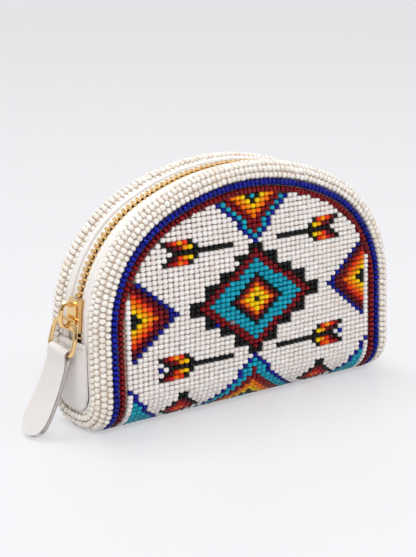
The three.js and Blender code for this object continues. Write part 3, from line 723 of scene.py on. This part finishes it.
def edging_core():
    """Roll of leather that the edging beads are sewn round, seen only as brown shade between them."""
    profile = []
    for i in range(12):
        angle = math.radians(-140 + 200 * i / 11)
        depth = min(ROLL_CORE_DEPTH, ROLL_DEPTH + ROLL_CORE_R * math.sin(angle))
        profile.append((ROLL_OUT + ROLL_CORE_R * math.cos(angle), depth))
    profile += [(3.6, ROLL_CORE_DEPTH), (2.0, 5.6)]
    sections = [
        [RIM_POINTS[i] + RIM_OUT[i] * out + RIM_IN[i] * depth for out, depth in profile]
        for i in range(0, len(RIM_POINTS), 2)
    ]
    obj = loft_mesh("edging_core", sections, BACKING, "purse", closed=True)


field_beads()
border_row(
    "red_row_beads", RED_OFFSET, BORDER_DEPTH, BORDER_PITCH, RED_BEAD_R, RED_ROW_BEAD,
    "red_bead_row",
)
border_row(
    "blue_row_beads", BLUE_OFFSET, BORDER_DEPTH, BORDER_PITCH, BLUE_BEAD_R, BLUE_ROW_BEAD,
    "blue_bead_row",
)
edging_beads()
edging_core()


# Zip chain: one cast tooth after another, hooked past the middle from either side

def chain_frame(run, out):
    """Point at a length along the zip's arch from the left springing, and the directions out and onward."""
    shoulder, crown = SHOULDER_R + TAPE_MID_OUT, CROWN_R + TAPE_MID_OUT
    on_shoulder, on_crown = shoulder * SHOULDER_ANGLE, crown * CROWN_ANGLE
    if run < 0 or run > 2 * on_shoulder + on_crown:
        side = -1 if run < 0 else 1
        beyond = -run if run < 0 else run - 2 * on_shoulder - on_crown
        normal, ahead = np.array([side, 0, 0.0]), np.array([0, 0, -side * 1.0])
        return np.array([side * (HALF_WIDTH + out), 0, SPRING_Z - beyond]), normal, ahead
    if run < on_shoulder or run > on_shoulder + on_crown:
        left = run < on_shoulder
        angle = math.pi - run / shoulder if left else (2 * on_shoulder + on_crown - run) / shoulder
        centre = np.array([-SHOULDER_X if left else SHOULDER_X, 0, SPRING_Z])
        radius = SHOULDER_R + out
    else:
        angle = math.pi - SHOULDER_ANGLE - (run - on_shoulder) / crown
        centre = np.array([0, 0, CROWN_Z])
        radius = CROWN_R + out
    normal = np.array([math.cos(angle), 0, math.sin(angle)])
    return centre + normal * radius, normal, np.array([normal[2], 0, -normal[0]])


# Outline of a tooth from above: distance from the middle to its own side, half width along the chain
TOOTH_OUTLINE = [
    (-0.62, 0.26), (-0.40, 0.52), (0.05, 0.56), (0.42, 0.34), (0.85, 0.30), (1.25, 0.52), (2.1, 0.60),
]
TOOTH_MIDDLE = 0.75
# Levels of a tooth, as (share of its half height, share of its outline)
TOOTH_LEVELS = [(-1.0, 0.8), (0.55, 1.0), (0.88, 0.92), (1.0, 0.66)]


def tooth_run(side, start, count, name, node):
    """Cast teeth of one side of the chain, a little uneven in height and in spacing along it."""
    outline = TOOTH_OUTLINE + [(y, -w) for y, w in reversed(TOOTH_OUTLINE)]
    ring = len(outline)
    verts, faces = [], []
    for i in range(count):
        run = start + i * TOOTH_PITCH + rng.normal(0, 0.03)
        sideways = side * chain_spread(run)
        height = TEETH_HALF_HEIGHT * (1 + rng.normal(0, 0.03))
        first = len(verts)
        for level, shrink in TOOTH_LEVELS:
            point, normal, ahead = chain_frame(run, TEETH_MID_OUT + level * height)
            for y, w in outline:
                across = side * (TOOTH_MIDDLE + (y - TOOTH_MIDDLE) * shrink) + sideways
                verts.append(point + ahead * w * shrink + np.array([0, across, 0]))
        for level in range(len(TOOTH_LEVELS) - 1):
            for k in range(ring):
                a, b = first + level * ring + k, first + level * ring + (k + 1) % ring
                faces.append((a, b, b + ring, a + ring))
        top = first + (len(TOOTH_LEVELS) - 1) * ring
        half = ring // 2
        for k in range(half - 1):
            for base in (first, top):
                faces.append((base + k, base + k + 1, base + ring - 2 - k, base + ring - 1 - k))
    obj = quad_mesh(name, np.array(verts), np.array(faces), GOLD, "purse")
    fix_normals(obj.data)
    obj.data.set_sharp_from_angle(angle=math.radians(50))
    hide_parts(node)


def chain_spread(run):
    """Extra distance from the middle where the rows part below the slider."""
    slider_low = (SHOULDER_R + TAPE_MID_OUT) * math.radians(SLIDER_DEG) - SLIDER_LENGTH / 2
    return ROWS_PARTED if run < slider_low + 1.5 else 0.0


def zip_chain():
    """Both rows of teeth, half a pitch apart."""
    shoulder, crown = SHOULDER_R + TAPE_MID_OUT, CROWN_R + TAPE_MID_OUT
    whole = 2 * shoulder * SHOULDER_ANGLE + crown * CROWN_ANGLE + 2 * (SPRING_Z - CHAIN_START_Z)
    count = int((whole - 1.2) / TOOTH_PITCH)
    start = -(SPRING_Z - CHAIN_START_Z) + 0.6
    tooth_run(-1, start, count, "cast_teeth_front", "zip_teeth_front")
    tooth_run(1, start + TOOTH_PITCH / 2, count, "cast_teeth_back", "zip_teeth_back")


def tape_pads():
    """Woven tape that swells up between the teeth and the leather, thickest at the teeth."""
    section = [
        (1.05, -0.25), (1.10, 0.35), (1.35, 0.62), (1.80, 0.68), (2.6, 0.60), (3.4, 0.55),
        (TAPE_HALF_WIDTH, 0.50), (TAPE_HALF_WIDTH, -0.25),
    ]
    for side, name in ((-1, "front"), (1, "back")):
        sections = []
        for i in range(TAPE_STEPS + 1):
            run = TAPE_START + i * TAPE_STEP
            spread = chain_spread(run)
            point, normal, _ = chain_frame(run, TAPE_MID_OUT)
            sections.append([
                point + normal * up + np.array([0, side * min(TAPE_HALF_WIDTH, across + spread), 0])
                for across, up in section
            ])
        obj = loft_mesh(f"tape_pad_{name}", sections, TAPE, "purse")


zip_chain()
tape_pads()


# Leather at the ends of the zip

def seam_roll():
    """Turned-in leather that closes the seams of the gusset and of the end patches behind the edging."""
    sections = []
    for i in range(0, len(RIM_POINTS), 2):
        low = min(1.0, max(0.0, (SEAM_TOP_Z - RIM_POINTS[i][2]) / 6.0))
        turns = [2 * math.pi * k / 10 for k in range(10)]
        middle = RIM_POINTS[i] + RIM_OUT[i] * (SEAM_OUT + SEAM_OUT_BELOW * low) + RIM_IN[i] * SEAM_DEPTH
        sections.append([
            middle + SEAM_R * (RIM_OUT[i] * math.cos(turn) + RIM_IN[i] * math.sin(turn)) for turn in turns
        ])
    obj = loft_mesh("seam_roll", sections, LEATHER, "purse", closed=True)


def surface_out(node, side, y, z):
    """Where a node's outer face stands along X, at a distance across and a height."""
    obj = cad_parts[node]
    tree = BVHTree.FromPolygons(
        [obj.matrix_world @ v.co for v in obj.data.vertices],
        [tuple(p.vertices) for p in obj.data.polygons],
    )
    hit = tree.ray_cast(Vector((side * 0.2, y * MM, z * MM)), Vector((-side, 0, 0)))[0]
    return hit.x / MM


def patch_stitches():
    """Line of short stitches under the top edge of each end patch."""
    thread = mirrored([(0.05, 0.5), (0.8, 0.42), (1.0, 0.2)])
    z = PATCH_TOP_Z - STITCH_DROP
    for side, name in ((-1, "left"), (1, "right")):
        across = [STITCH_PITCH * (i - (STITCHES - 1) / 2) for i in range(STITCHES)]
        centres = np.array([(surface_out(f"end_patch_{name}", side, y, z), y, z) for y in across])
        axes = np.tile([0.0, 1.0, 0.0], (STITCHES, 1))
        ups = np.tile([side * 1.0, 0.0, 0.0], (STITCHES, 1))
        obj = beads_mesh(f"patch_stitches_{name}", centres, axes, ups, 0.2, 1.15, (8, thread), THREAD)


def strap_sections():
    """Side profiles of the folded strap, one for each line across its width."""
    t = np.arange(61) / 60
    spine = np.stack([
        -0.44 * STRAP_REACH * t * (1 - t) - STRAP_REACH * t * t,
        -STRAP_DROP * t * (1 - t) - STRAP_DROP * t * t,
    ], 1)
    steps = np.linalg.norm(np.diff(spine, axis=0), axis=1)
    run = np.concatenate([[0], np.cumsum(steps)])
    whole = run[-1]
    tangents = np.gradient(spine, axis=0)
    tangents /= np.linalg.norm(tangents, axis=1)[:, None]
    tilt = math.radians(STRAP_TILT_DEG)

    def leg(side, layer, last, count=18):
        """Points down one face of one leg, with their lengths along the strap."""
        points = []
        for i in range(1, count + 1):
            s = last * i / count
            point = np.array([np.interp(s, run, spine[:, k]) for k in range(2)])
            ahead = np.array([np.interp(s, run, tangents[:, k]) for k in range(2)])
            across = np.array([ahead[1], -ahead[0]]) * side
            middle = STRAP_HALF_GAP + (STRAP_BOW_R - STRAP_HALF_GAP) * math.exp(-((s / 2.4) ** 2))
            points.append((point + across * (middle + layer), s))
        return points

    def bow(radius, from_left):
        """Half turn over the ring's bar."""
        turns = [math.pi * (1 - k / 8) if from_left else math.pi * k / 8 for k in range(9)]
        return [(np.array([radius * math.cos(turn), radius * math.sin(turn)]), 0.0) for turn in turns]

    def profile(share):
        last = whole - STRAP_END_R * (1 - math.sqrt(max(0.0, 1 - share * share)))
        layer = STRAP_HALF_LAYER * (0.7 if abs(share) == 1 else (0.9 if abs(share) > 0.96 else 1.0))
        outer = leg(1, layer, last)[::-1] + bow(STRAP_BOW_R + layer, True) + leg(-1, layer, last)
        inner = leg(-1, -layer, last)[::-1] + bow(STRAP_BOW_R - layer, False) + leg(1, -layer, last)
        section = []
        for point, s in outer + inner:
            half = STRAP_HALF_WIDTH_TOP + STRAP_WIDENING * min(1.0, s / (0.7 * whole))
            y, z = share * half, point[1]
            section.append(np.array([
                BAR[0] + point[0],
                BAR[1] + y * math.cos(tilt) - z * math.sin(tilt),
                BAR[2] + y * math.sin(tilt) + z * math.cos(tilt),
            ]))
        return section

    half_shares = [0.1, 0.3, 0.5, 0.65, 0.8, 0.9, 0.97, 1]
    return [profile(share) for share in [-share for share in reversed(half_shares)] + half_shares]


def pull_strap():
    """Leather strap folded over the ring's bar, with cut edges of a darker tone."""
    obj = loft_mesh("pull_strap", strap_sections(), STRAP_LEATHER, "pull")
    obj.data.materials.append(LEATHER_EDGE)
    for polygon in obj.data.polygons:
        if abs(polygon.normal.y) > 0.8 or polygon.normal.z < -0.75:
            polygon.material_index = 1
    obj.data.set_sharp_from_angle(angle=math.radians(50))
    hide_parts("pull_tab")


seam_roll()
patch_stitches()
pull_strap()


# Pieces that keep their solid's shape, with rounded edges and their own surface

def dress(node, material, bevel=0.0, segments=2, smooth_angle=40):
    """Give a solid's own mesh its surface and, where asked, rounded edges."""
    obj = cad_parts[node]
    obj.data.materials.clear()
    obj.data.materials.append(material)
    for polygon in obj.data.polygons:
        polygon.use_smooth = True
    obj.data.set_sharp_from_angle(angle=math.radians(smooth_angle))
    if bevel:
        modifier = obj.modifiers.new("rounded_edges", "BEVEL")
        modifier.width = bevel * MM
        modifier.segments = segments
        modifier.limit_method = "ANGLE"
        modifier.angle_limit = math.radians(35)


dress("panel_backing", BACKING)
for side_name in ("front", "back"):
    dress(f"gusset_{side_name}", LEATHER, smooth_angle=50)
    dress(f"zip_tape_{side_name}", TAPE)
for side_name in ("left", "right"):
    dress(f"end_patch_{side_name}", LEATHER, smooth_angle=50)
dress("zip_bottom_stop", GOLD, bevel=0.25)
dress("slider_body", GOLD, bevel=0.18, segments=3)
dress("slider_bail", GOLD, smooth_angle=60)
dress("pull_ring", GOLD, smooth_angle=60)


# Floor, backdrop and lamps

def stage_material():
    """White paper that glows a little to the eye, more so far away, and still takes the shadow; the weaker
    glow near the purse is painted shade round its foot.
    """
    material = bpy.data.materials.new("paper_floor")
    material.use_nodes = True
    nodes, links = material.node_tree.nodes, material.node_tree.links
    shader = nodes["Principled BSDF"]
    shader.inputs["Base Color"].default_value = srgb(227, 227, 229)
    shader.inputs["Roughness"].default_value = 0.4
    glow = nodes.new("ShaderNodeEmission")
    glow.inputs["Color"].default_value = srgb(243, 242, 245)
    path = nodes.new("ShaderNodeLightPath")
    seen = math_node(nodes, links, "MAXIMUM", path.outputs["Is Camera Ray"], path.outputs["Is Glossy Ray"])
    seen = math_node(nodes, links, "MAXIMUM", seen, path.outputs["Is Transmission Ray"])
    coords = nodes.new("ShaderNodeTexCoord")
    away = nodes.new("ShaderNodeVectorMath")
    away.operation = "LENGTH"
    links.new(coords.outputs["Object"], away.inputs[0])
    # Painted shade: less glow close to the purse keeps the floor round it darker than the far floor.
    ramp = nodes.new("ShaderNodeMapRange")
    ramp.inputs["From Min"].default_value = 0.06
    ramp.inputs["From Max"].default_value = 2.0
    ramp.inputs["To Min"].default_value = 0.55
    ramp.inputs["To Max"].default_value = 0.72
    links.new(away.outputs["Value"], ramp.inputs["Value"])
    share = math_node(nodes, links, "MULTIPLY", seen, ramp.outputs["Result"])
    mix = nodes.new("ShaderNodeMixShader")
    links.new(share, mix.inputs[0])
    links.new(shader.outputs["BSDF"], mix.inputs[1])
    links.new(glow.outputs["Emission"], mix.inputs[2])
    links.new(mix.outputs["Shader"], nodes["Material Output"].inputs["Surface"])
    return material


def floor_plane():
    mesh = bpy.data.meshes.new("floor")
    reach = 3.0
    corners = [(-reach, -reach, 0), (reach, -reach, 0), (reach, reach, 0), (-reach, reach, 0)]
    mesh.from_pydata(corners, [], [(0, 1, 2, 3)])
    obj = bpy.data.objects.new("floor", mesh)
    bpy.context.scene.collection.objects.link(obj)
    mesh.materials.append(stage_material())


floor_plane()


LAMP_TARGET = Vector((0, 0, 0.04))


def area_lamp(name, place, size, power):
    """Square lamp aimed at the purse."""
    data = bpy.data.lights.new(name, "AREA")
    data.shape = "SQUARE"
    data.size = size
    data.energy = power
    obj = bpy.data.objects.new(name, data)
    obj.location = place
    direction = LAMP_TARGET - Vector(place)
    obj.rotation_euler = direction.to_track_quat("-Z", "Y").to_euler()
    bpy.context.scene.collection.objects.link(obj)


area_lamp("key_lamp", (-0.50, -0.80, 0.90), 0.3, 6.7)
area_lamp("left_lamp", (-1.1, -0.25, 0.45), 0.7, 1.4)
area_lamp("fill_lamp", (0.9, -0.6, 0.6), 0.3, 2.4)
area_lamp("top_lamp", (0.0, 0.3, 1.1), 0.5, 5.4)

WORLD_NEAR = srgb(60, 58, 58)
WORLD_FAR = srgb(238, 240, 243)
WORLD_STRENGTH = 0.85


def world_gradient():
    """Soft room: bright above and behind the purse, darker towards the camera."""
    world = bpy.data.worlds.new("studio")
    bpy.context.scene.world = world
    world.use_nodes = True
    nodes, links = world.node_tree.nodes, world.node_tree.links
    coords = nodes.new("ShaderNodeTexCoord")
    split = nodes.new("ShaderNodeSeparateXYZ")
    links.new(coords.outputs["Generated"], split.inputs["Vector"])
    share = math_node(nodes, links, "MULTIPLY_ADD", split.outputs["Y"], 0.4)
    share.node.inputs[2].default_value = 0.5
    lift = math_node(nodes, links, "MULTIPLY_ADD", split.outputs["Z"], 0.35)
    links.new(share, lift.node.inputs[2])
    lift.node.use_clamp = True
    colour = mixed(nodes, links, lift, WORLD_NEAR, WORLD_FAR)
    background = nodes["Background"]
    links.new(colour, background.inputs["Color"])
    background.inputs["Strength"].default_value = WORLD_STRENGTH


world_gradient()


# Camera at the photograph's angle

AZIMUTH = -37.25
ELEVATION = 14.70
DISTANCE = 569.2
FOCAL_PX = 1612.0
LONG_SIDE_PX = 557.0
TARGET_RIGHT = -6.925
TARGET_UP = 3.602


def photo_camera():
    """Camera at the photograph's angle, aimed a little off the middle of the purse to match its framing."""
    a, e = math.radians(AZIMUTH), math.radians(ELEVATION)
    back = Vector((math.sin(a) * math.cos(e), -math.cos(a) * math.cos(e), math.sin(e)))
    right = Vector((math.cos(a), math.sin(a), 0))
    up = back.cross(right)
    target = right * TARGET_RIGHT + up * TARGET_UP + Vector((0, 0, ROW_ZERO_Z))
    data = bpy.data.cameras.new("photo_camera")
    data.sensor_width = 36.0
    data.lens = FOCAL_PX / LONG_SIDE_PX * 36.0
    data.clip_start, data.clip_end = 0.01, 20.0
    obj = bpy.data.objects.new("photo_camera", data)
    obj.rotation_mode = "QUATERNION"
    obj.location = (target + back * DISTANCE) * MM
    obj.rotation_quaternion = (-back).to_track_quat("-Z", "Y")
    bpy.context.scene.collection.objects.link(obj)
    bpy.context.scene.camera = obj


photo_camera()
bpy.context.scene.view_settings.view_transform = "Standard"
